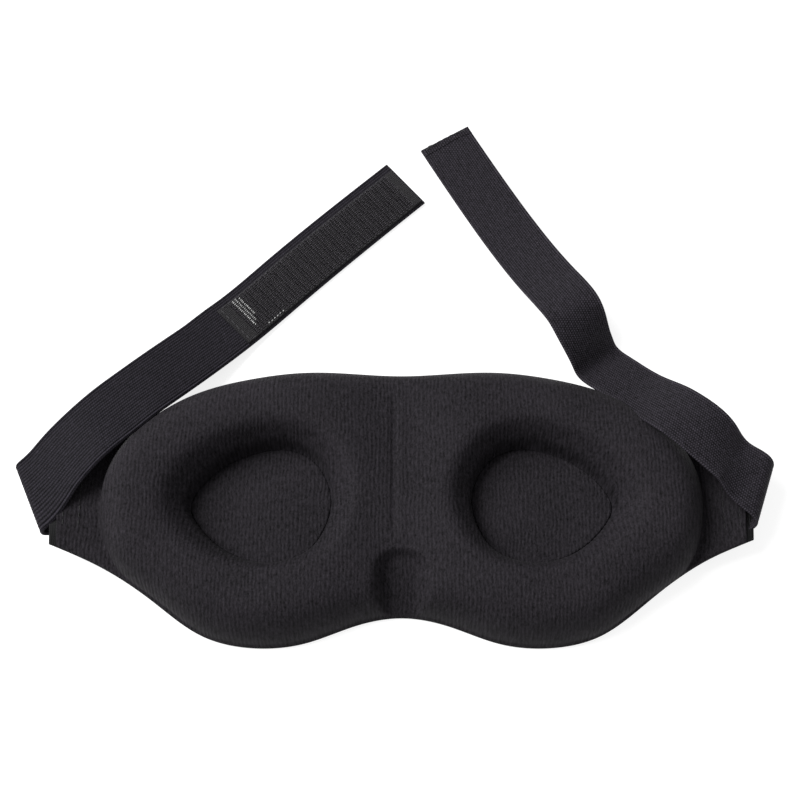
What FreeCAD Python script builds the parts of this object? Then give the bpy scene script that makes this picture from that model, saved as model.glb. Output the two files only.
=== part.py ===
"""Contoured sleep eye mask with two elastic straps folded back over its wings.

Millimetres. The mask lies on its outer side, face side up. The origin is on the underside at the
middle of the bridge, level with the centres of the eye cavities. +X points to the wearer's right
wing, +Y to the forehead edge and +Z away from the surface it lies on, towards the face.
"""
import FreeCAD, Part
import math
import os
from FreeCAD import Vector

os.makedirs("parts", exist_ok=True)

# Layers of the mask, from the outer side to the face side
COVER = 0.6
SHELL_FOAM = 1.8
SHELL_LINING = 0.6
FACE_LINING = 0.8
SHELL = COVER + SHELL_FOAM + SHELL_LINING

# Underside: flat in the middle, then each wing curves up on an arc
FLAT_HALF = 45.0
BEND_RADIUS = 317.0

# Fold line at the bridge: the halves part in a V that opens towards the face
FOLD_GAP = 0.15
FOLD_HALF_ANGLE = 11.0

# Outline of the flange, right half, from the forehead edge's middle to the wing, then back below
FLANGE_TOP = [(0, 48.3), (31, 49.5), (54, 46.4), (75, 39.6), (93, 28.0), (107, 17.5), (121, 9.0)]
FLANGE_BOTTOM = [(119.5, -15), (102, -22.5), (85, -33), (67, -45.5), (50, -49.5), (33, -48),
                 (16, -42), (0, -39)]

# Outline of the face cushion, right half, from the forehead edge's middle round to the bottom
CUSHION_OUTLINE = [(0, 45.5), (30, 46.8), (54, 43.6), (75, 36.6), (90, 26), (100, 14), (103.5, 0),
                   (99, -17), (86, -29), (67, -42.5), (50, -46.8), (33, -45.3), (16, -39.8), (0, -37)]
# Height of its crest over X, and how its side rounds over: (height, distance in from the outline)
CREST = [(0, 13.5), (14, 14.5), (30, 17.5), (50, 18.5), (74, 18.5), (90, 17.5), (98, 15), (106, 9.5)]
CUSHION_SIDE = [(1.0, 0.0), (9.0, 1.0), (14.0, 4.5), (17.5, 9.5), (20.0, 15.0)]

# Floor of the right eye cavity, and how its wall leans out: (height, distance out from the floor)
EYE_FLOOR = [(24.5, 1.5), (31, 16), (45, 20), (56, 17), (66, 10.3), (73, -1.4), (64.5, -13.5),
             (47, -20.9), (32, -16.3)]
CAVITY_WALL = [(0.0, 0.0), (6.0, 0.5), (12.0, 2.5), (17.0, 6.0), (22.0, 12.0)]

# Nose recess: an inverted U in the bottom edge: (height, width, top of the arch)
NOSE_RECESS = [(1.0, 18.0, -17.0), (20.0, 26.0, -13.0)]

# Straps: woven elastic, sewn under the wings and folded over at a crease
WEB_WIDTH = 20.0
WEB_THICK = 1.3
WING_STATION = 115.0
ANCHOR_INNER = -6.0
ANCHOR_OUTER = 16.0
ANCHOR_TURN = 4.0
CREASE = (125.5, 0.3)
CREASE_TURN = 21.2
FOLDED_HEIGHT = 15.2

# Centre line of each folded strap: where it starts, its heading, and (distance, height) along it
LEFT_HEADING = 44.8
LEFT_HEIGHTS = [(-8, FOLDED_HEIGHT), (0, FOLDED_HEIGHT), (18, 19.5), (34, 21.6), (48, 21.2),
                (58, 18.3), (67, 13.2), (76, 8.0), (85, 4.0), (93, 1.6), (101, WEB_THICK / 2)]
LEFT_LENGTH = 178.5
RIGHT_HEADING = 136.8
RIGHT_HEIGHTS = [(-8, FOLDED_HEIGHT), (0, FOLDED_HEIGHT), (18, 19.0), (29, 21.4), (40, 22.2),
                 (53, 19.3), (64, 12.5), (71, 8.0), (77, 6.0)]
RIGHT_LENGTH = 77.0
TAIL_HEADING = 119.6
TAIL_LENGTH = 107.0

# Hook and loop tape: a backing sewn to the strap, with the hooks or the pile standing on it
BACKING = 0.6
FIELD_HEIGHT = 1.2
HOOK_ACROSS = (-8.5, 6.5)
LOOP_ACROSS = (-8.0, 8.0)
ROOT_DEPTH = 0.3
HOOK_START = 97.0
LOOP_START = 25.0
TAPE_END_BARE = 5.0
TAPE_START_BARE = 3.0
HEM_LENGTH = 3.0
HEM_THICK = 1.0
TAIL_LIE = BACKING + FIELD_HEIGHT + WEB_THICK / 2
TAIL_HEIGHTS = [(-6, 6.0), (0, 6.0), (10, 11.5), (21, 15.0), (33, 13.0), (45, 8.8), (56, 5.2),
                (65, 3.2), (74, TAIL_LIE)]

# Sewing thread
STITCH_LENGTH = 2.0
STITCH_PITCH = 2.6
THREAD = 0.4
STITCH_LIFT = 0.1

REACH = 200.0
MODEL_TOP = 45.0


def spline(points, closed=False):
    """A smooth edge through points."""
    curve = Part.BSplineCurve()
    curve.interpolate(Points=points, PeriodicFlag=closed)
    return curve.toShape()


def line(a, b):
    return Part.makeLine(a, b)


def both_sides(points):
    """The outline's points from the left end to the right one, mirrored about the bridge."""
    left = [(-x, y) for x, y in reversed(points) if x > 0]
    return left + points


def prism(edges, height=MODEL_TOP):
    face = Part.Face(Part.Wire(edges))
    return face.extrude(Vector(0, 0, height))


def moved_out(points, distance):
    """A closed outline's points, each moved out along its own normal."""
    centre_x = sum(x for x, y in points) / len(points)
    centre_y = sum(y for x, y in points) / len(points)
    result = []
    for i, (x, y) in enumerate(points):
        before = points[i - 1]
        after = points[(i + 1) % len(points)]
        normal = Vector(after[1] - before[1], before[0] - after[0], 0).normalize()
        if normal.dot(Vector(x - centre_x, y - centre_y, 0)) < 0:
            normal = normal * -1
        result.append((x + normal.x * distance, y + normal.y * distance))
    return result


def closed_loft(sections):
    """A solid through closed smooth outlines, each given with its height."""
    wires = []
    for height, points in sections:
        wires.append(Part.Wire(spline([Vector(x, y, height) for x, y in points], closed=True)))
    return Part.makeLoft(wires, True, False)


# ---------------------------------------------------------------- the mask's own shape

def underside_point(x, height):
    """The point at this height over the underside, square to it, above its station x."""
    if x <= FLAT_HALF:
        return Vector(x, 0, height)
    angle = math.asin((x - FLAT_HALF) / BEND_RADIUS)
    radius = BEND_RADIUS - height
    return Vector(FLAT_HALF + radius * math.sin(angle), 0, BEND_RADIUS - radius * math.cos(angle))


def underside_edges(height, end):
    """The underside's profile in the XZ plane, raised by height, from the bridge to station end."""
    knee = underside_point(FLAT_HALF, height)
    middle = underside_point((FLAT_HALF + end) / 2, height)
    tip = underside_point(end, height)
    start = Vector(-10, 0, height)
    return [line(start, knee), Part.Arc(knee, middle, tip).toShape()], start, tip


def slab(low, high):
    """The layer between two heights over the underside, as wide as the model."""
    lower, lower_start, lower_tip = underside_edges(low, 140)
    upper, upper_start, upper_tip = underside_edges(high, 140)
    edges = lower + upper + [line(lower_start, upper_start), line(lower_tip, upper_tip)]
    face = Part.Face(Part.Wire(Part.__sortEdges__(edges)))
    face.translate(Vector(0, -60, 0))
    return face.extrude(Vector(0, 120, 0))


def right_of_fold():
    """Everything on the right of the bridge's V."""
    lean = math.tan(math.radians(FOLD_HALF_ANGLE)) * MODEL_TOP
    corners = [Vector(FOLD_GAP, -60, 0), Vector(FOLD_GAP + lean, -60, MODEL_TOP),
               Vector(REACH, -60, MODEL_TOP), Vector(REACH, -60, 0)]
    return Part.Face(Part.makePolygon(corners + corners[:1])).extrude(Vector(0, 120, 0))


def flange_prism():
    top = spline([Vector(x, y, 0) for x, y in both_sides(FLANGE_TOP)])
    bottom = spline([Vector(x, y, 0) for x, y in both_sides(FLANGE_BOTTOM[::-1])])
    upper = Vector(*FLANGE_TOP[-1], 0)
    lower = Vector(*FLANGE_BOTTOM[0], 0)
    tip_right = line(upper, lower)
    tip_left = line(Vector(-lower.x, lower.y, 0), Vector(-upper.x, upper.y, 0))
    return prism(Part.__sortEdges__([top, tip_right, bottom, tip_left]))


def cushion_outline():
    right = CUSHION_OUTLINE
    left = [(-x, y) for x, y in reversed(right) if x > 0]
    return right + left


def crest_space(skin):
    """Everything between the shell and the crest, lowered by skin."""
    start_x = -CREST[1][0]
    points = [Vector(start_x, 0, CREST[1][1] - skin)]
    points += [Vector(x, 0, z - skin) for x, z in CREST]
    crest = spline(points)
    lower, lower_start, lower_tip = underside_edges(SHELL, 140)
    base_start = Vector(start_x, 0, SHELL)
    base_end = underside_point(CREST[-1][0], SHELL)
    floor = [line(base_start, underside_point(FLAT_HALF, SHELL))]
    floor.append(Part.Arc(underside_point(FLAT_HALF, SHELL), underside_point(80, SHELL),
                          base_end).toShape())
    edges = floor + [crest, line(base_start, points[0]), line(base_end, points[-1])]
    face = Part.Face(Part.Wire(Part.__sortEdges__(edges)))
    face.translate(Vector(0, -60, 0))
    return face.extrude(Vector(0, 120, 0))


def nose_tool(skin):
    wires = []
    for height, width, top in NOSE_RECESS:
        half = width / 2 + skin
        spring = top - width / 2
        left = Vector(-half, spring, height)
        right = Vector(half, spring, height)
        arch = Part.Arc(left, Vector(0, spring + half, height), right).toShape()
        low_right = Vector(half, -60, height)
        low_left = Vector(-half, -60, height)
        wires.append(Part.Wire([arch, line(right, low_right), line(low_right, low_left),
                                line(low_left, left)]))
    return Part.makeLoft(wires, True, True)


def cushion_block(skin):
    """The right half of the padded rim, with its surface moved in by skin."""
    outline = cushion_outline()
    body = closed_loft([(z, moved_out(outline, -inset - skin)) for z, inset in CUSHION_SIDE])
    cavity = closed_loft([(z, moved_out(EYE_FLOOR, out + skin)) for z, out in CAVITY_WALL])
    block = body.common(crest_space(skin)).common(right_of_fold())
    return block.cut(cavity).cut(nose_tool(skin))


# ---------------------------------------------------------------- straps

class Route:
    """A strip's centre line: straight in plan, with a smooth rise and fall, then flat."""

    def __init__(self, start, heading, heights):
        self.start = Vector(start[0], start[1], 0)
        self.heading = heading
        self.first = heights[0][0]
        self.flat_from = heights[-1][0]
        self.curve = Part.BSplineCurve()
        self.curve.interpolate(Points=[Vector(s, 0, z) for s, z in heights])

    def point(self, s, offset):
        """The point at distance s along the route, offset square to the strip."""
        if s >= self.flat_from:
            return Vector(s, 0, self.curve.EndPoint.z + offset)
        low = self.curve.FirstParameter
        high = self.curve.LastParameter
        for _ in range(40):
            middle = (low + high) / 2
            if self.curve.value(middle).x < s:
                low = middle
            else:
                high = middle
        tangent = self.curve.tangent(low)[0]
        return self.curve.value(low) + Vector(-tangent.z, 0, tangent.x) * offset

    def side(self, s0, s1, offset):
        """One long side of a strip from s0 to s1: a curve, then a straight line."""
        edges = []
        curve_end = min(s1, self.flat_from)
        if s0 < curve_end:
            steps = max(3, int((curve_end - s0) / 5))
            stations = [s0 + (curve_end - s0) * i / steps for i in range(steps + 1)]
            edges.append(spline([self.point(s, offset) for s in stations]))
        if s1 > self.flat_from:
            straight_from = max(s0, self.flat_from)
            edges.append(line(self.point(straight_from, offset), self.point(s1, offset)))
        return edges

    def strip(self, s0, s1, low, high, across=(-WEB_WIDTH / 2, WEB_WIDTH / 2)):
        """A strip from s0 to s1, between two offsets from the centre line and two widths."""
        edges = self.side(s0, s1, low) + self.side(s0, s1, high)
        edges.append(line(self.point(s0, low), self.point(s0, high)))
        edges.append(line(self.point(s1, low), self.point(s1, high)))
        face = Part.Face(Part.Wire(Part.__sortEdges__(edges)))
        face.translate(Vector(0, across[0], 0))
        solid = face.extrude(Vector(0, across[1] - across[0], 0))
        solid.rotate(Vector(0, 0, 0), Vector(0, 0, 1), self.heading)
        solid.translate(self.start)
        return solid

    def stitches_across(self, s, height):
        """A row of thread stitches across the strip at s, standing on the given offset."""
        count = int((WEB_WIDTH - STITCH_LENGTH) / STITCH_PITCH)
        first = -(count - 1) * STITCH_PITCH / 2
        row = []
        for i in range(count):
            middle = first + i * STITCH_PITCH
            span = (middle - STITCH_LENGTH / 2, middle + STITCH_LENGTH / 2)
            row.append(self.strip(s - THREAD / 2, s + THREAD / 2, height, height + THREAD, span))
        return row


def half_space(point, direction):
    """A block that fills the side of a vertical plane that direction, in degrees, points to."""
    block = Part.makeBox(2 * REACH, 2 * REACH, 2 * REACH, Vector(0, -REACH, -REACH))
    block.rotate(Vector(0, 0, 0), Vector(0, 0, 1), direction)
    block.translate(Vector(point[0], point[1], 0))
    return block


def mirrored(shape):
    return shape.mirror(Vector(0, 0, 0), Vector(1, 0, 0))


def on_right_wing(shape):
    """Place a shape made flat at the origin under the right wing, square to its underside."""
    foot = underside_point(WING_STATION, 0)
    slope = math.degrees(math.asin((WING_STATION - FLAT_HALF) / BEND_RADIUS))
    shape.rotate(Vector(0, 0, 0), Vector(0, 1, 0), -slope)
    shape.translate(foot)
    return shape


def strap_anchor():
    """The sewn-in end of the right strap, from under the wing out to the crease."""
    length = ANCHOR_OUTER - ANCHOR_INNER
    corner = Vector(ANCHOR_INNER, -WEB_WIDTH / 2, -WEB_THICK - STITCH_LIFT)
    stub = Part.makeBox(length, WEB_WIDTH, WEB_THICK, corner)
    stub.rotate(Vector(0, 0, 0), Vector(0, 0, 1), ANCHOR_TURN)
    return on_right_wing(stub).common(half_space(CREASE, 180 - CREASE_TURN))


def wing_seam():
    """Two rows of stitches over the anchor, on the wing's face side and under the anchor."""
    stitches = []
    rows = 7
    for x in (-4.0, 2.0):
        for i in range(rows):
            y = (i - (rows - 1) / 2) * STITCH_PITCH - STITCH_LENGTH / 2
            over = SHELL + STITCH_LIFT
            under = -WEB_THICK - 2 * STITCH_LIFT - THREAD
            for z in (over, under):
                stitches.append(Part.makeBox(THREAD, STITCH_LENGTH, THREAD, Vector(x, y, z)))
    return on_right_wing(Part.makeCompound(stitches))


# ---------------------------------------------------------------- build and export

def export(name, shape):
    solids = shape.Solids
    for solid in solids:
        if not solid.isValid():
            raise ValueError(name + " holds a solid that isn't valid")
    whole = solids[0] if len(solids) == 1 else Part.makeCompound(solids)
    whole.exportStep("parts/" + name + ".step")
    print(name, len(solids), round(whole.Volume, 1))


def export_pair(name, right_shape):
    export("right_" + name, right_shape)
    export("left_" + name, mirrored(right_shape))


right_flange = flange_prism().common(right_of_fold())
foam_top = COVER + SHELL_FOAM
export_pair("outer_cover", right_flange.common(slab(0, COVER)))
export_pair("shell_foam", right_flange.common(slab(COVER, foam_top)))
export_pair("shell_lining", right_flange.common(slab(foam_top, SHELL)))

foam_block = cushion_block(FACE_LINING)
export_pair("face_cushion", foam_block)
export_pair("face_lining", cushion_block(0).cut(foam_block))

export_pair("strap_anchor", strap_anchor())
export_pair("wing_seam", wing_seam())

half_web = WEB_THICK / 2
left = Route((-CREASE[0], CREASE[1]), LEFT_HEADING, LEFT_HEIGHTS)
left_web = left.strip(left.first, LEFT_LENGTH, -half_web, half_web)
export("left_strap", left_web.common(half_space((-CREASE[0], CREASE[1]), CREASE_TURN)))

hook_backing = left.strip(HOOK_START, LEFT_LENGTH, half_web, half_web + BACKING)
hook_base = half_web + BACKING
hook_field = left.strip(HOOK_START + TAPE_START_BARE, LEFT_LENGTH - TAPE_END_BARE,
                        hook_base - ROOT_DEPTH, hook_base + FIELD_HEIGHT, HOOK_ACROSS)
export("hook_tape", hook_backing.fuse(hook_field).removeSplitter())
hook_rows = left.stitches_across(HOOK_START + 1.5, hook_base)
hook_rows += left.stitches_across(LEFT_LENGTH - HEM_LENGTH, hook_base)
export("hook_tape_stitching", Part.makeCompound(hook_rows))

right = Route(CREASE, RIGHT_HEADING, RIGHT_HEIGHTS)
turn = math.radians(RIGHT_HEADING)
kink = (CREASE[0] + RIGHT_LENGTH * math.cos(turn), CREASE[1] + RIGHT_LENGTH * math.sin(turn))
tail = Route(kink, TAIL_HEADING, TAIL_HEIGHTS)
mitre = (RIGHT_HEADING + TAIL_HEADING) / 2
first_part = right.strip(right.first, RIGHT_LENGTH + 6, -half_web, half_web)
first_part = first_part.common(half_space(CREASE, 180 - CREASE_TURN))
first_part = first_part.common(half_space(kink, mitre + 180))
tail_part = tail.strip(tail.first, TAIL_LENGTH, -half_web, half_web)
tail_part = tail_part.common(half_space(kink, mitre))
hem = tail.strip(TAIL_LENGTH - HEM_LENGTH, TAIL_LENGTH, half_web, half_web + HEM_THICK)
export("right_strap", first_part.fuse(tail_part).fuse(hem).removeSplitter())

loop_top = -half_web
loop_backing = tail.strip(LOOP_START, TAIL_LENGTH, loop_top - BACKING, loop_top)
loop_field = tail.strip(LOOP_START + TAPE_START_BARE, TAIL_LENGTH - TAPE_END_BARE,
                        loop_top - BACKING - FIELD_HEIGHT, loop_top - BACKING + ROOT_DEPTH,
                        LOOP_ACROSS)
export("loop_tape", loop_backing.fuse(loop_field).removeSplitter())
loop_under = loop_top - BACKING - THREAD
loop_rows = tail.stitches_across(LOOP_START + 1.5, loop_under)
loop_rows += tail.stitches_across(TAIL_LENGTH - HEM_LENGTH, loop_under)
export("loop_tape_stitching", Part.makeCompound(loop_rows))
hem_row = tail.stitches_across(TAIL_LENGTH - HEM_LENGTH + 1.0, half_web + HEM_THICK)
export("strap_hem_stitching", Part.makeCompound(hem_row))
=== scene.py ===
"""Looks of the contoured sleep eye mask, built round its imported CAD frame.

Lengths below are in millimetres and are turned into metres as each mesh is made.
"""
import math

import bpy
import numpy as np
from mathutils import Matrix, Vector


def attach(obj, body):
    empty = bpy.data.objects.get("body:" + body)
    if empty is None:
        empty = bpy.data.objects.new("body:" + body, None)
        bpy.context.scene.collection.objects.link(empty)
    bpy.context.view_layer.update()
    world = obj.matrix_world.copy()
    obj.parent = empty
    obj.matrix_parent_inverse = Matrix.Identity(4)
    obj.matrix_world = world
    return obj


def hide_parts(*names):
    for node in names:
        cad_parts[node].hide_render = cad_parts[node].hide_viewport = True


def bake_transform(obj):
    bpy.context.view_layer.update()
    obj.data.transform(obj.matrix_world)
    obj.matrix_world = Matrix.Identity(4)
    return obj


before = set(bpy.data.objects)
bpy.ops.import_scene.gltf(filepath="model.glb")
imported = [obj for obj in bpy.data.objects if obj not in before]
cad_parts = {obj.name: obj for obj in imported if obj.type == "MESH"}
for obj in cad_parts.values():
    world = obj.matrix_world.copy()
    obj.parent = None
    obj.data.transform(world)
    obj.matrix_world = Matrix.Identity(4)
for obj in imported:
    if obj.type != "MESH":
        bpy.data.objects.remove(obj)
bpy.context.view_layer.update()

MM = 0.001

# ---------------------------------------------------------------- driving dimensions

# Underside: flat in the middle, curving up at the wings
FLAT_HALF = 45.0
BEND_RADIUS = 317.0

# Outlines of the right half, from the forehead edge's middle to the wing and back below
FLANGE_TOP = [(0, 48.1), (31, 49.5), (54, 46.8), (75, 40.0), (93, 28.1), (107, 17.5), (121, 9.0)]
FLANGE_BOTTOM = [(119.5, -15.5), (102, -22.6), (85, -33), (67, -45.4), (50, -49.2), (33, -47.7),
                 (16, -41.8), (0, -39)]
CUSHION_OUTLINE = [(0, 47.5), (31, 48.9), (54, 46.2), (75, 39.3), (88, 30.6), (97, 21),
                   (102.3, 10), (103.6, -2), (101.6, -14), (96.8, -23.4), (90, -29.2),
                   (84, -33.3), (67, -45), (50, -48.8), (33, -47.3), (16, -41.4), (0, -38.6)]
EYE_FLOOR = [(24.5, 1.5), (26.2, 9), (31, 16), (38, 19.6), (45, 20), (56, 17), (66, 10.3), (71.3, 3.7),
             (72.9, -1.6), (70, -7.6), (64.5, -13.5), (56, -18.7), (47, -20.9), (38.5, -19.8),
             (32, -16.3), (27, -9)]

# Small differences between the two wings' lower edges, and how far the jersey stops short of the
# wing ends
RIGHT_WING_LIFT = 1.5
LEFT_WING_SAG = 0.4
JERSEY_SHORT = 2.4

# Heights over the underside: the shell, the jersey on the wings, the cavity floors, the cushion's
# crest and how much it dips over the bridge
SHELL_TOP = 1.2
JERSEY_TOP = 2.2
FLOOR_TOP = 3.2
CREST = 18.8
BRIDGE_DIP = 4.2
BRIDGE_HALF = 17.0

# The cushion's rounded side
SIDE_WIDTH = 17.0
SIDE_HEIGHT = 20.0

# An eye cavity's wall: a groove round the floor, a steep foot and a wide rounded lip
EYE_GROOVE = 1.2
FOOT_HEIGHT = 4.8
FOOT_WIDTH = 1.5
LIP_HEIGHT = 12.6

# The nose recess: an arch open at the lower edge, with a floor that rises from there
NOSE_HALF = 5.5
NOSE_CENTRE_Y = -24.6
NOSE_FLOOR = (2.4, 10.8)
NOSE_LOWER_Y = -39.0
NOSE_RISE_LENGTH = 18.0
NOSE_WALL_TOP = 20.5

# The cavity floors: domed a little, and reaching under the walls
FLOOR_DOME = 0.5
FLOOR_TUCK = 0.45
FLOOR_EDGE_DROP = 1.3
FLOOR_DEPTH = 1.8

# Straps: each crosses its crease at a point, with the crease's angle in plan, the height of the
# fold's axis, the radius of the fabric's middle layer around it, how much the axis climbs along
# the crease and how much the lower edge flares there. Both are worked out on the right side, and
# the left strap's pieces are mirrored.
LEFT_CREASE = (126.7, 2.2, 66.7, 9.9, 1.6, 0.14, 0.21)
RIGHT_CREASE = (121.3, 4.3, 70.6, 12.0, 3.5, 0.0, 0.0)

# Centre lines from the crease on: place, height and roll in degrees (outer edge lower)
LEFT_ROUTE = [(126.7, 2.2, 11.5, 0), (120.8, 8.3, 12.8, 0), (115.3, 14.1, 15.1, -1),
              (109.8, 19.8, 16.5, 0), (98.6, 31.3, 15.0, -5), (92.9, 36.9, 13.7, -3),
              (87.2, 42.5, 11.7, -4), (64.3, 64.8, 3.3, -2), (58.4, 70.6, 1.7, 0),
              (43.5, 85.1, 0.8, 0), (-1.9, 126.45, 0.8, 0)]
RIGHT_ROUTE = [(121.3, 4.3, 15.5, 3), (117.4, 7.9, 16.8, 13), (113.5, 11.5, 17.1, 19),
               (110, 14.8, 18.8, 15), (105.7, 19, 20.6, 6.5), (96.9, 27.2, 20.3, 7),
               (92.5, 31.3, 18.0, 8), (83.8, 39.5, 11.2, 15), (75, 47.7, 7.2, 16),
               (70.1, 52.8, 5.7, 15), (68.4, 55.2, 8.0, 16), (63.4, 63.4, 15.9, 7),
               (61, 67.8, 17.6, 3), (58.5, 72.1, 16.9, 1), (53.6, 80.8, 12.5, 0),
               (16.5, 145.2, 2.2, 0)]

# The webbing: width, thickness, spacing of its ribs, and half its thickness, at which it lies
WEB_WIDTH = 21.0
WEB_THICK = 1.3
RIB = 0.93
LIE = WEB_THICK / 2

# A sewn root starts under the wing at this x, a small gap below it, leaves it at the wing's end and
# gives way to the free strap this far past the fold
ROOT_INNER_X = 108.5
SEWN_GAP = 0.15
WING_END = 119.5
ROOT_RUN = 30.0

# Spacing of the rings along a strap and at its fold, and of the extra ring near each end
STEP = 0.8
FOLD_STEP = 0.4
END_RING = 0.03

# Hook and loop tape, hem and thread. Starts and runs are along the strap, and ACROSS gives the two
# edges. PITCH is the hooks' spacing along and across.
HOOK_START = 94.0
HOOK_FIELD_START = 99.6
HOOK_END_BARE = 4.4
HOOK_ACROSS = (-9.5, 7.2)
HOOK_PITCH = (1.4, 0.7)
HOOK_HEIGHT = 0.95
HOOK_RADIUS = 0.16
HOOK_SHAPE = [(0, -0.1), (0, 0.5), (0.06, 0.8), (0.22, 0.97), (0.4, 0.88), (0.46, 0.7)]
HOOK_END_GAP = 0.6
LOOP_RUN = 92.0
LOOP_ACROSS = (-8.2, 8.2)
LOOP_END_GAP = 1.0
LOOP_PILE = 1.2
BACKING = 0.45
HEM_LENGTH = 3.2
HEM_RISE = 0.22
THREAD = 0.4
LOOSE_THREAD = 0.26
STITCH_LENGTH = 2.0
STITCH_PITCH = 2.6
STITCH_RISE = 0.32
STITCH_SINK = 0.25
EDGE_SEAM_INSET = 0.45
EDGE_SEAM_GAP = 0.8
SEAM_X = (110.4, 115.6)
SEAM_ACROSS = (-10.2, 9.4)

# Camera and light, in metres and degrees
CAMERA_AIM = (-0.0005, 0.040, 0)
CAMERA_DISTANCE = 0.520
CAMERA_TILT = 70.0
CAMERA_LENS = 65.2
KEY_PLACE = (-1.0, 0.43, 1.16)
KEY_AIM = (0, 0.03, 0)
KEY_SIZE = 1.1
KEY_POWER = 40.5
FLOOR_HALF = 3.0
FLOOR_GAP = 0.0003

# ---------------------------------------------------------------- curves and distances


def smooth_curve(points, count, closed=False):
    """count points along a cubic spline through the given points, evenly spaced by chord."""
    p = np.array(points, float)
    if closed:
        p = np.vstack([p, p[:1]])
    step = np.linalg.norm(np.diff(p[:, :3], axis=0), axis=1)
    knots = np.concatenate([[0], np.cumsum(step)])
    n = len(p)
    left = np.zeros((n, n))
    right = np.zeros(p.shape)
    for i in range(1, n - 1):
        left[i, i - 1:i + 2] = step[i - 1], 2 * (step[i - 1] + step[i]), step[i]
        right[i] = 6 * ((p[i + 1] - p[i]) / step[i] - (p[i] - p[i - 1]) / step[i - 1])
    left[0, 0] = 1
    if closed:
        left[0, -1] = -1
        left[-1, 0] = 2 * step[0]
        left[-1, 1] = step[0]
        left[-1, -2] = step[-1]
        left[-1, -1] += 2 * step[-1]
        right[-1] = 6 * ((p[1] - p[0]) / step[0] - (p[-1] - p[-2]) / step[-1])
    else:
        left[-1, -1] = 1
    bend = np.linalg.solve(left, right)
    t = np.linspace(0, knots[-1], count, endpoint=not closed)
    i = np.clip(np.searchsorted(knots, t, side="right") - 1, 0, n - 2)
    h = step[i][:, None]
    a = (knots[i + 1] - t)[:, None] / h
    b = 1 - a
    curve = a * p[i] + b * p[i + 1]
    return curve + ((a ** 3 - a) * bend[i] + (b ** 3 - b) * bend[i + 1]) * h ** 2 / 6


def both_sides(points):
    """An open outline of the right half with its mirror image, from the left end to the right."""
    return [(-x, y) for x, y in reversed(points) if x > 0] + points


def closed_both_sides(points):
    """A closed outline from the right half's points, which start and end on the mirror line."""
    return points + [(-x, y) for x, y in reversed(points) if x > 0]


def outside_distance(x, y, outline):
    """Distance to a closed outline, positive outside it. The outline may run either way round."""
    a = np.asarray(outline, float)
    b = np.roll(a, -1, axis=0)
    edge = b - a
    length2 = (edge ** 2).sum(1)
    area = (a[:, 0] * b[:, 1] - b[:, 0] * a[:, 1]).sum() / 2
    turn = 1.0 if area > 0 else -1.0
    best = np.full(x.shape, 1e9)
    sign = np.ones(x.shape)
    for k in range(len(a)):
        dx = x - a[k, 0]
        dy = y - a[k, 1]
        t = np.clip((dx * edge[k, 0] + dy * edge[k, 1]) / length2[k], 0, 1)
        px = dx - t * edge[k, 0]
        py = dy - t * edge[k, 1]
        d = px * px + py * py
        near = d < best
        best = np.where(near, d, best)
        side = np.where(edge[k, 0] * dy - edge[k, 1] * dx > 0, -turn, turn)
        sign = np.where(near, side, sign)
    return np.sqrt(best) * sign


def soft_min(a, b, k):
    """The lower of two heights, rounded over where they differ by less than k."""
    return np.minimum(a, b) - np.maximum(k - np.abs(a - b), 0) ** 2 / (4 * k)


def soft_max(a, b, k):
    """The higher of two heights, rounded in the same way."""
    return -soft_min(-a, -b, k)


def smoothstep(t):
    """Rises smoothly from 0 at t = 0 to 1 at t = 1."""
    t = np.clip(t, 0, 1)
    return t * t * (3 - 2 * t)


def underside(x):
    """Height of the underside over the table."""
    run = np.maximum(np.abs(x) - FLAT_HALF, 0)
    return BEND_RADIUS - np.sqrt(BEND_RADIUS ** 2 - run ** 2)


# ---------------------------------------------------------------- meshes

def add_piece(name, points, faces, cloth):
    """A mesh object from points in mm. cloth gives each point its place on the flat fabric, in mm."""
    mesh = bpy.data.meshes.new(name)
    mesh.from_pydata((np.asarray(points, float) * MM).tolist(), [], faces)
    mesh.validate()
    mesh.polygons.foreach_set("use_smooth", [True] * len(mesh.polygons))
    layer = mesh.attributes.new("cloth", "FLOAT_VECTOR", "POINT")
    layer.data.foreach_set("vector", np.asarray(cloth, np.float32).ravel())
    mesh.update()
    obj = bpy.data.objects.new(name, mesh)
    bpy.context.collection.objects.link(obj)
    return obj


def grid_faces(columns, rows):
    """Quads of a grid whose points are stored column by column."""
    faces = []
    for i in range(columns - 1):
        for j in range(rows - 1):
            a = i * rows + j
            faces.append((a, a + rows, a + rows + 1, a + 1))
    return faces


def flange_edges(count):
    """The flange's long edges as dense curves, from the left wing to the right one."""
    top = smooth_curve(both_sides(FLANGE_TOP), count)
    bottom = smooth_curve(both_sides(FLANGE_BOTTOM[::-1]), count)
    bottom[:, 1] += RIGHT_WING_LIFT * smoothstep((bottom[:, 0] - 80) / 30)
    bottom[:, 1] -= LEFT_WING_SAG * np.exp(-((bottom[:, 0] + 88) / 15) ** 2)
    return top, bottom


def flange_grid(columns, rows, grow=0.0, short=0.0):
    """Plan positions of a grid that fills the flange outline, denser at its long edges."""
    top, bottom = flange_edges(800)
    u = np.linspace(-1, 1, columns)
    s = np.linspace(0, 1, rows)
    v = s - 0.45 * np.sin(2 * math.pi * s) / (2 * math.pi)
    x_top = u * (FLANGE_TOP[-1][0] + grow - short)
    x_bottom = u * (FLANGE_BOTTOM[0][0] + grow - short)
    y_top = np.interp(x_top, top[:, 0], top[:, 1]) + grow
    y_bottom = np.interp(x_bottom, bottom[:, 0], bottom[:, 1]) - grow
    x = x_bottom[:, None] * (1 - v) + x_top[:, None] * v
    y = y_bottom[:, None] * (1 - v) + y_top[:, None] * v
    return x, y


def flange_outline():
    top, bottom = flange_edges(240)
    return np.vstack([top, bottom[::-1]])


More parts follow.
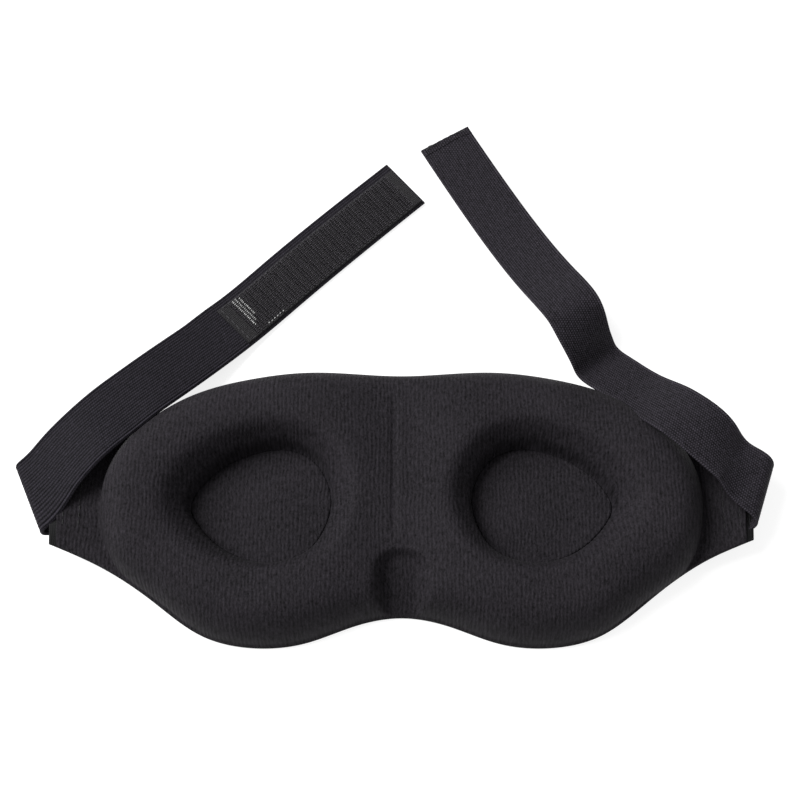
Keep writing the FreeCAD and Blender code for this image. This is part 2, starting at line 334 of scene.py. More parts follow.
def layer_mesh(name, x, y, high, low, flat_side="low"):
    """A closed layer over a plan grid. Its detailed side is a grid and its other side one strip
    of long faces, which follow the underside's curve."""
    columns, rows = x.shape
    detailed, plain = (high, low) if flat_side == "low" else (low, high)
    lift = underside(x)
    points = [np.stack([x, y, lift + detailed], -1).reshape(-1, 3)]
    points += [np.stack([x[:, j], y[:, j], lift[:, j] + plain], -1) for j in (0, rows - 1)]
    points = np.vstack(points)
    first = columns * rows
    last = first + columns
    faces = grid_faces(columns, rows)
    for i in range(columns - 1):
        faces.append((first + i, last + i, last + i + 1, first + i + 1))
        faces.append((i * rows, first + i, first + i + 1, (i + 1) * rows))
        faces.append((last + i, (i + 1) * rows - 1, (i + 2) * rows - 1, last + i + 1))
    left_end = tuple(range(rows)) + (last, first)
    right_end = tuple(range((columns - 1) * rows, first)) + (last + columns - 1, first + columns - 1)
    faces += [left_end, right_end[::-1]]
    if flat_side == "high":
        faces = [face[::-1] for face in faces]
    cloth = points * np.array([1, 1, 0])
    return add_piece(name, points, faces, cloth)


# ---------------------------------------------------------------- the mask

def quarter_round(t):
    """Rises from 0 to 1 like a quarter of a circle."""
    t = np.clip(t, 0, 1)
    return np.sqrt(1 - (1 - t) ** 2)


def quarter_sine(t):
    """Rises from 0 to 1 like a quarter of a sine wave."""
    return np.sin(np.clip(t, 0, 1) * math.pi / 2)


def cushion_side(x, y):
    """Height of the cushion's rounded side, which runs out onto the flange in a fillet. The fillet
    is wider on the wings, most of all on the right one."""
    outline = smooth_curve(closed_both_sides(CUSHION_OUTLINE), 260, closed=True)
    inside = -outside_distance(x, y, outline)
    side = SIDE_HEIGHT * quarter_round(inside / SIDE_WIDTH)
    fillet = 1.0 + smoothstep((np.abs(x) - 84) / 12) * np.where(x > 0, 5.0, 1.4)
    return soft_max(np.where(inside > 0, side, 2 * inside), JERSEY_TOP, fillet)


def cushion_crest(x, y):
    """Height of the cushion's top: lower over the bridge and a little uneven."""
    dip = BRIDGE_DIP * np.exp(-(x / BRIDGE_HALF) ** 2)
    return CREST - dip + 0.25 * np.sin(0.11 * x + 1.0) * np.sin(0.14 * y + 2.0)


def eye_lip_width(x, y):
    """How wide an eye cavity's rounded lip is: narrower towards the forehead and the cheek."""
    angle = np.arctan2((y + 1) * 1.15, x - 46)
    return 10.0 + 3.5 * np.cos(angle) ** 2 - 3.6 * np.maximum(-np.sin(angle), 0) ** 2


def eye_wall(x, y):
    """Height of the eye cavities' walls, from the groove round the floor outwards."""
    half = np.abs(x)
    outside = outside_distance(half, y, smooth_curve(EYE_FLOOR, 160, closed=True))
    foot = (FOOT_HEIGHT + EYE_GROOVE) * quarter_sine((outside - 0.15) / FOOT_WIDTH)
    t = outside / eye_lip_width(half, y)
    lip = LIP_HEIGHT * (0.55 * quarter_sine(t) + 0.45 * np.clip(t, 0, 1))
    return FLOOR_TOP - EYE_GROOVE + np.where(outside > 0, foot + lip, 2.0 * outside)


def nose_recess(x, y):
    """Height of the nose recess: its floor, and its wall outside the arch."""
    radius = np.hypot(x, np.maximum(y - NOSE_CENTRE_Y, 0))
    outside = radius - NOSE_HALF
    outside = 0.5 * (outside + np.sqrt(outside ** 2 + 0.6))
    width = 1.8 * (1.7 + 3.9 * (x / np.maximum(radius, 0.01)) ** 2)
    rise = np.clip((y - NOSE_LOWER_Y) / NOSE_RISE_LENGTH, 0, 1) ** 0.8
    floor = NOSE_FLOOR[0] + (NOSE_FLOOR[1] - NOSE_FLOOR[0]) * rise
    return floor + (NOSE_WALL_TOP - floor) * quarter_sine(outside / width)


def bridge_crease(x, y):
    """The fine upright crease left of the bridge's middle, with a low ridge beside it."""
    fade = smoothstep((y + 18) / 10) * smoothstep((40 - y) / 12)
    groove = 0.6 * np.exp(-((x + 2.6) / 1.0) ** 2)
    ridge = 0.2 * np.exp(-((x - 0.3) / 1.6) ** 2)
    return fade * (ridge - groove)


def pad_height(x, y):
    """Height of the face side over the underside."""
    height = soft_min(cushion_side(x, y), cushion_crest(x, y), 4.0)
    height = soft_min(height, nose_recess(x, y), 2.0)
    height = soft_min(height, eye_wall(x, y), 3.0)
    return np.maximum(height + bridge_crease(x, y), SHELL_TOP + 0.5)


def rounded_rim(height, x, y, low, radius):
    """Rounds a layer's height down to low at the flange's cut edge."""
    inside = -outside_distance(x, y, flange_outline())
    return low + (height - low) * quarter_round(inside / radius)


def make_face_pad():
    x, y = flange_grid(346, 142, short=JERSEY_SHORT)
    height = rounded_rim(pad_height(x, y), x, y, SHELL_TOP + 0.4, 1.0)
    pad = layer_mesh("face_pad", x, y, height, SHELL_TOP + 0.05)
    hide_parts("left_face_lining", "right_face_lining", "left_face_cushion",
                "right_face_cushion")
    bridge_blend(pad)
    return pad


def make_shell():
    x, y = flange_grid(300, 90, grow=0.15)
    inside = -outside_distance(x, y, flange_outline())
    low = 0.55 * (1 - quarter_round(inside + 0.35))
    shell = layer_mesh("outer_shell", x, y, SHELL_TOP, low, flat_side="high")
    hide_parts("left_outer_cover", "right_outer_cover", "left_shell_foam",
                "right_shell_foam")
    bridge_blend(shell)
    return shell


def bridge_blend(obj):
    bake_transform(obj)


def make_cavity_floor(side):
    """The almond of lining at the bottom of an eye cavity, tucked under the cavity's wall."""
    rings, spokes = 36, 160
    outline = smooth_curve(EYE_FLOOR, spokes, closed=True)
    centre = outline.mean(0)
    arm = outline - centre
    length = np.linalg.norm(arm, axis=1)[:, None]
    edge = centre + arm * (1 + FLOOR_TUCK / length)
    points = [(centre[0], centre[1], FLOOR_TOP + FLOOR_DOME)]
    for r in range(1, rings + 1):
        t = math.sin(r / rings * math.pi / 2)
        drop = FLOOR_EDGE_DROP * max(0.0, (t - 0.96) / 0.04) ** 2.5
        height = FLOOR_TOP + FLOOR_DOME * (1 - t ** 3) - drop
        ring = centre + (edge - centre) * t
        points += [(px, py, height) for px, py in ring]
    points += [(px, py, FLOOR_TOP - FLOOR_DEPTH) for px, py in edge]
    points.append((centre[0], centre[1], FLOOR_TOP - FLOOR_DEPTH))
    points = np.array(points)
    points[:, 2] += underside(points[:, 0])
    faces = [(0, 1 + k, 1 + (k + 1) % spokes) for k in range(spokes)]
    for r in range(rings):
        a = 1 + r * spokes
        for k in range(spokes):
            m = (k + 1) % spokes
            faces.append((a + k, a + spokes + k, a + spokes + m, a + m))
    last = 1 + rings * spokes
    faces += [(len(points) - 1, last + (k + 1) % spokes, last + k) for k in range(spokes)]
    if side == "right":
        faces = [f[::-1] for f in faces]
    else:
        points[:, 0] *= -1
    cloth = points * np.array([1, 1, 0])
    floor = add_piece(side + "_cavity_floor", points, faces, cloth)
    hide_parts(side + "_shell_lining")
    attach(floor, side + "_half")
    return floor


# ---------------------------------------------------------------- straps

class Route:
    """Centre line of a folded strap from its crease on, as stations of a smooth curve.
    A station is (x, y, height, roll): roll lowers the strip's outer edge."""

    def __init__(self, stations):
        dense = smooth_curve([(x, y, z, math.radians(roll)) for x, y, z, roll in stations], 1500)
        step = np.linalg.norm(np.diff(dense[:, :3], axis=0), axis=1)
        self.distance = np.concatenate([[0], np.cumsum(step)])
        self.dense = dense
        tangent = np.gradient(dense[:, :3], self.distance, axis=0)
        self.tangent = tangent / np.linalg.norm(tangent, axis=1)[:, None]
        self.length = self.distance[-1]

    def at(self, s, a, t):
        """The point at distance s, a across to the right and t up from the centre line."""
        centre = np.stack([np.interp(s, self.distance, self.dense[:, k]) for k in range(3)], -1)
        along = np.stack([np.interp(s, self.distance, self.tangent[:, k]) for k in range(3)], -1)
        roll = np.interp(s, self.distance, self.dense[:, 3])[..., None]
        level = np.stack([along[..., 1], -along[..., 0], np.zeros(s.shape)], -1)
        level /= np.linalg.norm(level, axis=-1, keepdims=True)
        up = np.cross(level, along)
        across = level * np.cos(roll) - up * np.sin(roll)
        normal = up * np.cos(roll) + level * np.sin(roll)
        return centre + across * a[..., None] + normal * t[..., None]


class Strap:
    """A strap's fabric: a point m along it, a across it and t up from its middle layer. m is 0
    where the sewn root meets the fold's axis, negative under the wing and positive from there on.
    bow rounds the strap's end outwards and spread widens it towards one edge."""

    def __init__(self, crease, route, bow, spread):
        self.bow = bow
        self.spread = spread
        x, y, angle, self.axis_height, self.radius, self.climb, self.flare = crease
        self.start = np.array([x, y])
        angle = math.radians(angle)
        self.along = np.array([math.cos(angle), math.sin(angle)])
        self.outward = np.array([math.sin(angle), -math.cos(angle)])
        self.route = Route(route)
        # Folding flat mirrors a strip in its crease, which gives the sewn root's heading
        leave = math.atan2(route[1][1] - route[0][1], route[1][0] - route[0][0])
        heading = 2 * angle - leave
        self.heading = np.array([math.cos(heading), math.sin(heading)])
        self.side = np.array([-self.heading[1], self.heading[0]])
        self.wrap = math.pi * self.radius
        self.turn = self.wrap / (self.heading @ self.outward)
        self.shift = self.turn * (self.heading @ self.along)
        self.end = self.turn + self.route.length

    def point(self, m, a, t):
        """The fabric's point in space: wrapped half round the fold's axis, laid under the wing
        before that and eased onto the route after it."""
        widen = self.flare * np.exp(-((m - self.turn / 2) / 11) ** 2) * smoothstep(-a / 11)
        a = a * (1 + widen)
        half = WEB_WIDTH / 2
        spread = self.spread * (0.35 + 0.65 * smoothstep((m - self.turn - 78) / 16))
        a = a + spread * (1 + a / half)
        m = m + self.bow * smoothstep((m - self.end + 9) / 9) * (1 - (a / half) ** 2)
        flat = m[..., None] * self.heading + a[..., None] * self.side
        over = flat @ self.outward
        q = flat @ self.along - self.shift
        radius = self.radius - t
        phi = np.clip(over / self.radius, 0, math.pi)
        out = np.where(over < 0, over, radius * np.sin(phi))
        out = np.where(over > self.wrap, self.wrap - over, out)
        plan = self.start + q[..., None] * self.along + out[..., None] * self.outward
        z = self.axis_height + self.climb * q - radius * np.cos(phi)
        under_wing = underside(np.minimum(plan[..., 0], WING_END)) - LIE - SEWN_GAP + t
        z = z + (under_wing - z) * smoothstep(-over / 7)
        folded = np.concatenate([plan, z[..., None]], -1)
        s = m - self.turn
        routed = self.route.at(np.maximum(s, 0), a, -t)
        blend = smoothstep((s - 1) / 12)[..., None]
        return folded * (1 - blend) + routed * blend


def web_profile():
    """The strap's section as (across, thickness) points: ribs, a groove near each edge, and
    rounded edges."""
    half = WEB_WIDTH / 2
    points = []
    for side in (1, -1):
        for a in np.linspace(-half, half, 111)[::side]:
            near_edge = half - abs(a)
            thick = LIE * math.sqrt(max(0.0, 1 - max(0.0, 1 - near_edge / 0.6) ** 2))
            if near_edge > 1.5:
                thick += 0.05 * math.cos(2 * math.pi * a / RIB) - 0.03
            elif near_edge > 1.1:
                thick -= 0.14
            points.append((a, side * thick))
    return points[:-1]


def strip_mesh(place, stations, profile):
    """A closed strip through stations with the given section. place(m, a, t) gives its points. An
    extra ring close to each end keeps the end's shading from spreading along the strip."""
    a = np.array([p[0] for p in profile])
    t = np.array([p[1] for p in profile])
    head = [stations[0], stations[0] + END_RING]
    tail = [stations[-1] - END_RING, stations[-1]]
    stations = np.concatenate([head, stations[1:-1], tail])
    mm, aa = np.meshgrid(stations, a, indexing="ij")
    tt = np.broadcast_to(t, mm.shape)
    count = len(profile)
    rows = len(mm)
    faces = []
    for i in range(rows - 1):
        for j in range(count):
            k = (j + 1) % count
            faces.append((i * count + j, i * count + k, (i + 1) * count + k, (i + 1) * count + j))
    faces.append(tuple(range(count))[::-1])
    faces.append(tuple((rows - 1) * count + j for j in range(count)))
    cloth = np.stack([mm.ravel(), aa.ravel(), tt.ravel()], -1)
    return place(mm, aa, tt).reshape(-1, 3), faces, cloth


def tube_mesh(place, paths, across, radius, sides=6):
    """Round threads along paths of (m, a, t) points; across is a direction square to each path."""
    paths = np.asarray(paths, float)
    across = np.asarray(across, float)
    tangent = np.gradient(paths, axis=1)
    tangent /= np.linalg.norm(tangent, axis=2)[:, :, None]
    normal = np.cross(across[:, None], tangent)
    turn = np.arange(sides) * 2 * math.pi / sides
    ring = np.cos(turn)[:, None] * across[:, None, None] + np.sin(turn)[:, None] * normal[:, :, None]
    cloth = (paths[:, :, None] + radius * ring).reshape(-1, 3)
    faces = []
    rings = paths.shape[1]
    for n in range(len(paths)):
        base = n * rings * sides
        for i in range(rings - 1):
            for j in range(sides):
                k = (j + 1) % sides
                low = base + i * sides
                faces.append((low + j, low + k, low + sides + k, low + sides + j))
        faces.append(tuple(base + j for j in range(sides))[::-1])
        faces.append(tuple(base + (rings - 1) * sides + j for j in range(sides)))
    return place(cloth[:, 0], cloth[:, 1], cloth[:, 2]), faces, cloth


def stitch_paths(rows, surface, lift):
    """Stitches along rows (m, a, m, a) on the surface at height t; lift is the side they rise to."""
    paths = []
    across = []
    for m0, a0, m1, a1 in rows:
        length = math.hypot(m1 - m0, a1 - a0)
        step = np.array([(m1 - m0) / length, (a1 - a0) / length])
        count = int((length - STITCH_LENGTH) / STITCH_PITCH) + 1
        margin = (length - STITCH_LENGTH - (count - 1) * STITCH_PITCH) / 2
        f = np.linspace(0, 1, 9)
        rise = lift * (STITCH_RISE * np.sin(f * math.pi) ** 0.5 - STITCH_SINK)
        for n in range(count):
            start = margin + n * STITCH_PITCH
            along = np.array([m0, a0]) + (start + STITCH_LENGTH * f)[:, None] * step
            paths.append(np.column_stack([along, surface + rise]))
            across.append((-step[1], step[0], 0))
    return paths, across


def stitch_mesh(place, rows, surface, lift):
    paths, across = stitch_paths(rows, surface, lift)
    return tube_mesh(place, paths, across, THREAD / 2)


def tape_seams(first, last, low, high, inset, gap):
    """Seams round a tape, from m first to last: across both ends, then along both edges."""
    ends = [(m, low + inset, m, high - inset) for m in (first, last)]
    edges = (low + EDGE_SEAM_INSET, high - EDGE_SEAM_INSET)
    return ends + [(first + gap, a, last - EDGE_SEAM_GAP, a) for a in edges]


def joined(*meshes):
    """Several meshes as one."""
    points = []
    faces = []
    cloth = []
    base = 0
    for mesh_points, mesh_faces, mesh_cloth in meshes:
        points.append(mesh_points)
        cloth.append(mesh_cloth)
        faces += [tuple(base + i for i in face) for face in mesh_faces]
        base += len(mesh_points)
    return np.concatenate(points), faces, np.concatenate(cloth)


def finish_piece(name, mesh, mirror):
    """The mesh as an object with flat ends, mirrored to the left side if asked."""
    points, faces, cloth = mesh
    if mirror:
        points = points * np.array([-1, 1, 1])
        faces = [f[::-1] for f in faces]
    obj = add_piece(name, points, faces, cloth)
    for face in obj.data.polygons:
        if len(face.vertices) > 4:
            face.use_smooth = False
    return obj


def flat_profile(low, high, near, far, count=24):
    """The section of a tape between two edges and two faces, its corners a little rounded."""
    r = min(0.15, (far - near) / 2)
    inner = np.linspace(low + r, high - r, count)
    points = [(low, near + r)] + [(x, near) for x in inner] + [(high, near + r), (high, far - r)]
    return points + [(x, far) for x in inner[::-1]] + [(low, far - r)]


def hook_mesh(strap, m, a, top, rng):
    """Bent threads that stand on the hook tape at m, a. A few of them face the other way."""
    shape = np.array(HOOK_SHAPE)
    facing = np.where(rng.random(m.shape) < 0.95, 1.0, -1.0)
    m = m + rng.normal(0, 0.05, m.shape) - 0.3 * facing
    a = a + rng.normal(0, 0.05, a.shape)
    paths = np.zeros((len(m), len(shape), 3))
    paths[:, :, 0] = m[:, None] + facing[:, None] * shape[:, 0]
    paths[:, :, 1] = a[:, None]
    paths[:, :, 2] = top - HOOK_HEIGHT * shape[:, 1]
    across = np.tile([0.0, 1.0, 0.0], (len(m), 1))
    return tube_mesh(strap.point, paths, across, HOOK_RADIUS, 5)


def pick_painted_glint(row, lane):
    """Which hooks get the paler material, a painted glint: most of three of the first rows, then the
    lower edge's.
    """
    first_rows = (row > 0.8) & (row < 3.2) & (lane > 0.06 + 0.12 * row) & (lane < 1.0 - 0.03 * row)
    edge = (row > 3.5) & (row < 9.2) & (lane < 0.06)
    return first_rows | edge


def make_hook_tape(strap):
    """Hook tape on the face-up side of the left strap's end, which is -t there."""
    low, high = HOOK_ACROSS
    top = -(LIE + BACKING)
    start = strap.turn + HOOK_START
    end = strap.end - HOOK_END_GAP
    section = flat_profile(low, high, top, -(LIE - 0.03))
    backing = strip_mesh(strap.point, np.linspace(start, end, 100), section)
    rows = np.arange(strap.turn + HOOK_FIELD_START, strap.end - HOOK_END_BARE, HOOK_PITCH[0])
    lanes = np.arange(low + 0.9, high - 0.6, HOOK_PITCH[1])
    m, a = [grid.ravel() for grid in np.meshgrid(rows, lanes, indexing="ij")]
    # The hooks picked here get a paler, shinier material: a painted glint where the light catches
    # them.
    bright = pick_painted_glint((m - rows[0]) / HOOK_PITCH[0], (a - low) / (high - low))
    rng = np.random.default_rng(5)
    painted_glint_hooks = hook_mesh(strap, m[bright], a[bright], top, rng)
    dark_hooks = hook_mesh(strap, m[~bright], a[~bright], top, rng)
    tape = finish_piece("hook_tape_field", joined(backing, dark_hooks), True)
    first = finish_piece("hook_tape_painted_glint_rows", painted_glint_hooks, True)
    seams = tape_seams(start + 1.5, end - 3.2, low, high, 0.6, 1.0)
    thread = finish_piece("hook_tape_thread", stitch_mesh(strap.point, seams, top, -1), True)
    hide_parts("hook_tape")
    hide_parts("hook_tape_stitching")
    for piece in (tape, first):
        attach(piece, "left_strap")
    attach(thread, "left_strap")
    return tape, first, thread


def make_loop_tape(strap):
    """Loop tape under the right strap's end (+t there), and its thread."""
    low, high = LOOP_ACROSS
    top = LIE + BACKING
    end = strap.end - LOOP_END_GAP
    start = end - LOOP_RUN
    section = flat_profile(low, high, LIE - 0.03, top)
    backing = strip_mesh(strap.point, np.linspace(start, end, 130), section)
    section = flat_profile(low + 0.9, high - 0.9, top - 0.05, LIE + LOOP_PILE, 40)
    pile = strip_mesh(strap.point, np.linspace(start + 2.6, end - 4.0, 120), section)
    tape = finish_piece("loop_tape_field", joined(backing, pile), False)
    seams = tape_seams(start + 1.3, end - 2.6, low, high, 0.5, 0.9)
    thread = finish_piece("loop_tape_thread", stitch_mesh(strap.point, seams, top, 1), False)
    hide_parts("loop_tape")
    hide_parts("loop_tape_stitching")
    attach(tape, "right_strap")
    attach(thread, "right_strap")
    return tape, thread


def loose_thread_mesh(strap):
    """A short loose loop of thread that stands out from the right strap's end."""
    turn = np.linspace(0.2, 2 * math.pi - 0.2, 24)
    m = strap.end + 1.1 - 1.3 * np.cos(turn)
    a = -6.6 + 0.75 * np.sin(turn)
    t = -0.9 - 0.5 * np.sin(turn / 2)
    return tube_mesh(strap.point, [np.column_stack([m, a, t])], [(0, 0, 1)], LOOSE_THREAD / 2)


def make_hem(strap):
    """The right strap's end, folded over once and sewn down, with a loose end of thread."""
    half = WEB_WIDTH / 2 - 0.15
    top = -LIE - HEM_RISE
    stations = np.linspace(strap.end - HEM_LENGTH, strap.end + 0.35, 12)
    fold = strip_mesh(strap.point, stations, flat_profile(-half, half, top, 0.2))
    hem = finish_piece("right_strap_hem", fold, False)
    row = (strap.end - 1.5, -half + 0.8, strap.end - 1.5, half - 0.8)
    stitches = stitch_mesh(strap.point, [row], top, -1)
    thread = finish_piece("hem_thread", joined(stitches, loose_thread_mesh(strap)), False)
    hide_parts("strap_hem_stitching")
    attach(hem, "right_strap")
    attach(thread, "right_strap")
    return hem, thread


def on_wing(x, y, t):
    """A point at height t over the wing's underside."""
    return np.stack([x, y, underside(x) + t], -1)


def make_wing_seam(side, strap, mirror):
    """Two rows of thread through the wing and the strap's sewn root: one side on top of the wing,
    the other under the root."""
    centre = strap.start - strap.shift * strap.along
    slope = strap.heading[1] / strap.heading[0]
    rows = []
    for x in SEAM_X:
        y = centre[1] + (x - centre[0]) * slope
        rows.append((x, y + SEAM_ACROSS[0], x, y + SEAM_ACROSS[1]))
    upper = stitch_mesh(on_wing, rows, JERSEY_TOP, 1)
    lower = stitch_mesh(on_wing, rows, -SEWN_GAP - 2 * LIE, -1)
    seam = finish_piece(side + "_wing_thread", joined(upper, lower), mirror)
    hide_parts(side + "_wing_seam")
    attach(seam, side + "_half")
    return seam


def crease_blend(root):
    """Bakes the sewn root's placement into its mesh; its bend from the wing to the strap at the crease
    is already in its points.
    """
    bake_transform(root)


def make_strap(side, strap, mirror):
    """One strap as two pieces that meet over the wing: its sewn root, which bends at the crease,
    and its free length."""
    profile = web_profile()
    first = strap.turn + ROOT_RUN
    root_start = ROOT_INNER_X - (strap.start[0] - strap.shift * strap.along[0])
    sewn = np.arange(root_start, -6, STEP)
    fold = np.arange(-6, strap.turn + 7, FOLD_STEP)
    over_wing = np.arange(fold[-1] + 0.7, first - 0.4, STEP)
    stations = np.concatenate([sewn, fold, over_wing, [first]])
    root = finish_piece(side + "_strap_root", strip_mesh(strap.point, stations, profile), mirror)
    stations = np.linspace(first, strap.end, int((strap.end - first) / STEP))
    free = finish_piece(side + "_strap_free", strip_mesh(strap.point, stations, profile), mirror)
    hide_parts(side + "_strap_anchor")
    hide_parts(side + "_strap")
    crease_blend(root)
    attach(free, side + "_strap")
    return root, free


# ---------------------------------------------------------------- materials

class Material:
    """Shorthand for a node material on one Principled shader."""

    def __init__(self, name, color, roughness, sheen=0.0, sheen_rough=0.5, specular=0.5):
        self.material = bpy.data.materials.new(name)
        self.material.use_nodes = True
        self.tree = self.material.node_tree
        self.shader = self.tree.nodes["Principled BSDF"]
        self.shader.inputs["Base Color"].default_value = (*color, 1)
        self.shader.inputs["Roughness"].default_value = roughness
        self.shader.inputs["Sheen Weight"].default_value = sheen
        self.shader.inputs["Sheen Roughness"].default_value = sheen_rough
        self.shader.inputs["Specular IOR Level"].default_value = specular
        self.color = color

    def node(self, kind, **values):
        made = self.tree.nodes.new(kind)
        for key, value in values.items():
            setattr(made, key, value)
        return made

    def put(self, socket, value):
        if isinstance(value, bpy.types.NodeSocket):
            self.tree.links.new(value, socket)
        else:
            socket.default_value = value

    def math(self, operation, a, b=0.0, c=0.0):
        made = self.node("ShaderNodeMath", operation=operation)
        for socket, value in zip(made.inputs, (a, b, c)):
            self.put(socket, value)
        return made.outputs[0]

    def cloth(self):
        """The fabric's flat coordinates, in mm: as a vector, then its first two parts. The third,
        the height over the fabric's middle layer, is kept as self.height."""
        read = self.node("ShaderNodeAttribute", attribute_name="cloth")
        split = self.node("ShaderNodeSeparateXYZ")
        self.tree.links.new(read.outputs["Vector"], split.inputs[0])
        self.height = split.outputs[2]
        return read.outputs["Vector"], split.outputs[0], split.outputs[1]

    def noise(self, vector, scale, detail=2.0, rough=0.5, stretch=None):
        if stretch is not None:
            mapping = self.node("ShaderNodeMapping")
            mapping.inputs["Scale"].default_value = stretch
            self.tree.links.new(vector, mapping.inputs["Vector"])
            vector = mapping.outputs[0]
        made = self.node("ShaderNodeTexNoise")
        self.tree.links.new(vector, made.inputs["Vector"])
        made.inputs["Scale"].default_value = scale
        made.inputs["Detail"].default_value = detail
        made.inputs["Roughness"].default_value = rough
        return made.outputs["Fac"]

    def wave(self, value, period):
        """A cosine from 0 to 1 with the given period."""
        turned = self.math("MULTIPLY", value, 2 * math.pi / period)
        return self.math("MULTIPLY_ADD", self.math("COSINE", turned), 0.5, 0.5)

    def shade(self, factor, low, high):
        """Base colour times a factor that runs from low to high."""
        gain = self.math("MULTIPLY_ADD", factor, high - low, low)
        mix = self.node("ShaderNodeVectorMath", operation="SCALE")
        mix.inputs[0].default_value = self.color
        self.put(mix.inputs["Scale"], gain)
        self.tree.links.new(mix.outputs[0], self.shader.inputs["Base Color"])

    def lint(self, vector, scale, threshold, strength):
        """Sparse specks: only the peaks of a noise."""
        peaks = self.math("SUBTRACT", self.noise(vector, scale, 1.0), threshold)
        return self.math("MULTIPLY", self.math("MAXIMUM", peaks, 0.0), strength)

    def bump(self, height, depth):
        made = self.node("ShaderNodeBump")
        made.inputs["Distance"].default_value = depth * MM
        self.tree.links.new(height, made.inputs["Height"])
        self.tree.links.new(made.outputs[0], self.shader.inputs["Normal"])


def jersey_material(name, color, contrast):
    """Fine ribbed jersey: broken vertical streaks of uneven stitches, fine grain and lint."""
    m = Material(name, color, 0.8, sheen=0.01, sheen_rough=0.4, specular=0.1)
    vector, u, _ = m.cloth()
    drift = m.noise(vector, 0.09)
    u = m.math("MULTIPLY_ADD", drift, 2.6, u)
    rib = m.wave(u, 1.35)
    streak = m.noise(vector, 1.05, 1.5, 0.6, stretch=(1.0, 0.45, 1.0))
    grain = m.noise(vector, 2.0, 2.0, 0.65, stretch=(1.0, 0.7, 1.0))
    patch = m.noise(vector, 0.045)
    tone = m.math("MULTIPLY_ADD", streak, 1.5, m.math("MULTIPLY", rib, 0.25))
    tone = m.math("MULTIPLY_ADD", grain, 1.8, tone)
    tone = m.math("MULTIPLY_ADD", patch, 0.5, tone)
    tone = m.math("ADD", m.lint(vector, 1.5, 0.7, 6.0), tone)
    m.shade(tone, 1 - 2.0 * contrast, 1 - 1.0 * contrast)
    height = m.math("MULTIPLY_ADD", streak, 1.3, m.math("MULTIPLY", rib, 0.5))
    height = m.math("MULTIPLY_ADD", grain, 0.5, height)
    m.bump(height, 0.16)
    return m.material


def webbing_material(name, color, picks):
    """Woven elastic: lengthwise ribs crossed by fine picks, with a lighter line inside each edge.
    picks is how much the crossing threads show."""
    m = Material(name, color, 0.65, sheen=0.005, sheen_rough=0.4, specular=0.1)
    vector, along, across = m.cloth()
    rib = m.wave(across, RIB)
    row = m.math("FLOOR", m.math("MULTIPLY_ADD", across, 1 / RIB, 0.5))
    pick = m.wave(m.math("MULTIPLY_ADD", row, 0.42, along), 0.84)
    slub = m.noise(vector, 1.2, 2.0, 0.6, stretch=(0.6, 1.0, 1.0))
    fuzz = m.noise(vector, 3.6, 2.0, 0.7)
    edge = m.math("ABSOLUTE", m.math("SUBTRACT", m.math("ABSOLUTE", across), WEB_WIDTH / 2 - 1.0))
    edge = m.math("MAXIMUM", m.math("MULTIPLY_ADD", edge, -3.0, 1.0), 0.0)
    pick = m.math("MULTIPLY_ADD", pick, picks, 1 - picks)
    weave = m.math("MULTIPLY", m.math("MULTIPLY_ADD", rib, 0.85, 0.15), pick)
    tone = m.math("MULTIPLY_ADD", slub, 0.9, weave)
    tone = m.math("MULTIPLY_ADD", fuzz, 0.6, tone)
    tone = m.math("MULTIPLY_ADD", edge, 0.4, tone)
    tone = m.math("ADD", m.lint(vector, 1.4, 0.66, 7.0), tone)
    m.shade(tone, -3.6, 2.1)
    m.bump(m.math("MULTIPLY_ADD", fuzz, 0.3, weave), 0.35)
    return m.material


def tape_material(name, color, specular, scale):
    """Hook and loop tape: nylon on a plain woven ground, darker the nearer it is to the ground."""
    m = Material(name, color, 0.5, sheen=0.03, sheen_rough=0.4, specular=specular)
    vector, along, across = m.cloth()
    ground = m.math("MULTIPLY", m.wave(across, 0.7), m.wave(along, 0.6))
    fuzz = m.noise(vector, scale, 3.0, 0.7)
    tone = m.math("MULTIPLY_ADD", fuzz, 0.9, m.math("MULTIPLY", ground, 0.4))
    above = m.math("SUBTRACT", m.math("ABSOLUTE", m.height), LIE + BACKING)
    above = m.math("MAXIMUM", m.math("MULTIPLY", above, 1.7), 0.12)
    above = m.math("MINIMUM", above, 1.6)
    m.shade(m.math("MULTIPLY", tone, above), 0.15, 1.6)
    m.bump(m.math("ADD", fuzz, ground), 0.2)
    return m.material


def thread_material(name, color):
    """Twisted sewing thread."""
    m = Material(name, color, 0.5, sheen=0.05, sheen_rough=0.4, specular=0.35)
    vector, along, across = m.cloth()
    twist = m.wave(m.math("ADD", along, across), 0.35)
    fuzz = m.noise(vector, 3.0, 2.0)
    m.shade(m.math("MULTIPLY_ADD", fuzz, 0.6, m.math("MULTIPLY", twist, 0.5)), 0.4, 1.5)
    m.bump(twist, 0.05)
    return m.material


def knit_material(name, color):
    """Outer cover: a very fine smooth knit."""
    m = Material(name, color, 0.7, sheen=0.03, sheen_rough=0.4, specular=0.2)
    vector, u, v = m.cloth()
    rib = m.wave(u, 0.7)
    stitch = m.wave(m.math("MULTIPLY_ADD", m.math("PINGPONG", u, 0.35), 0.8, v), 0.55)
    fuzz = m.noise(vector, 2.2, 3.0, 0.7)
    weave = m.math("MULTIPLY_ADD", stitch, 0.4, m.math("MULTIPLY", rib, 0.6))
    m.shade(m.math("MULTIPLY_ADD", fuzz, 0.6, weave), 0.6, 1.1)
    m.bump(m.math("MULTIPLY_ADD", fuzz, 0.4, weave), 0.12)
    return m.material


# ---------------------------------------------------------------- stage, light, camera

def look_at(obj, target):
    direction = Vector(target) - obj.location
    obj.rotation_mode = "QUATERNION"
    obj.rotation_quaternion = direction.to_track_quat("-Z", "Y")


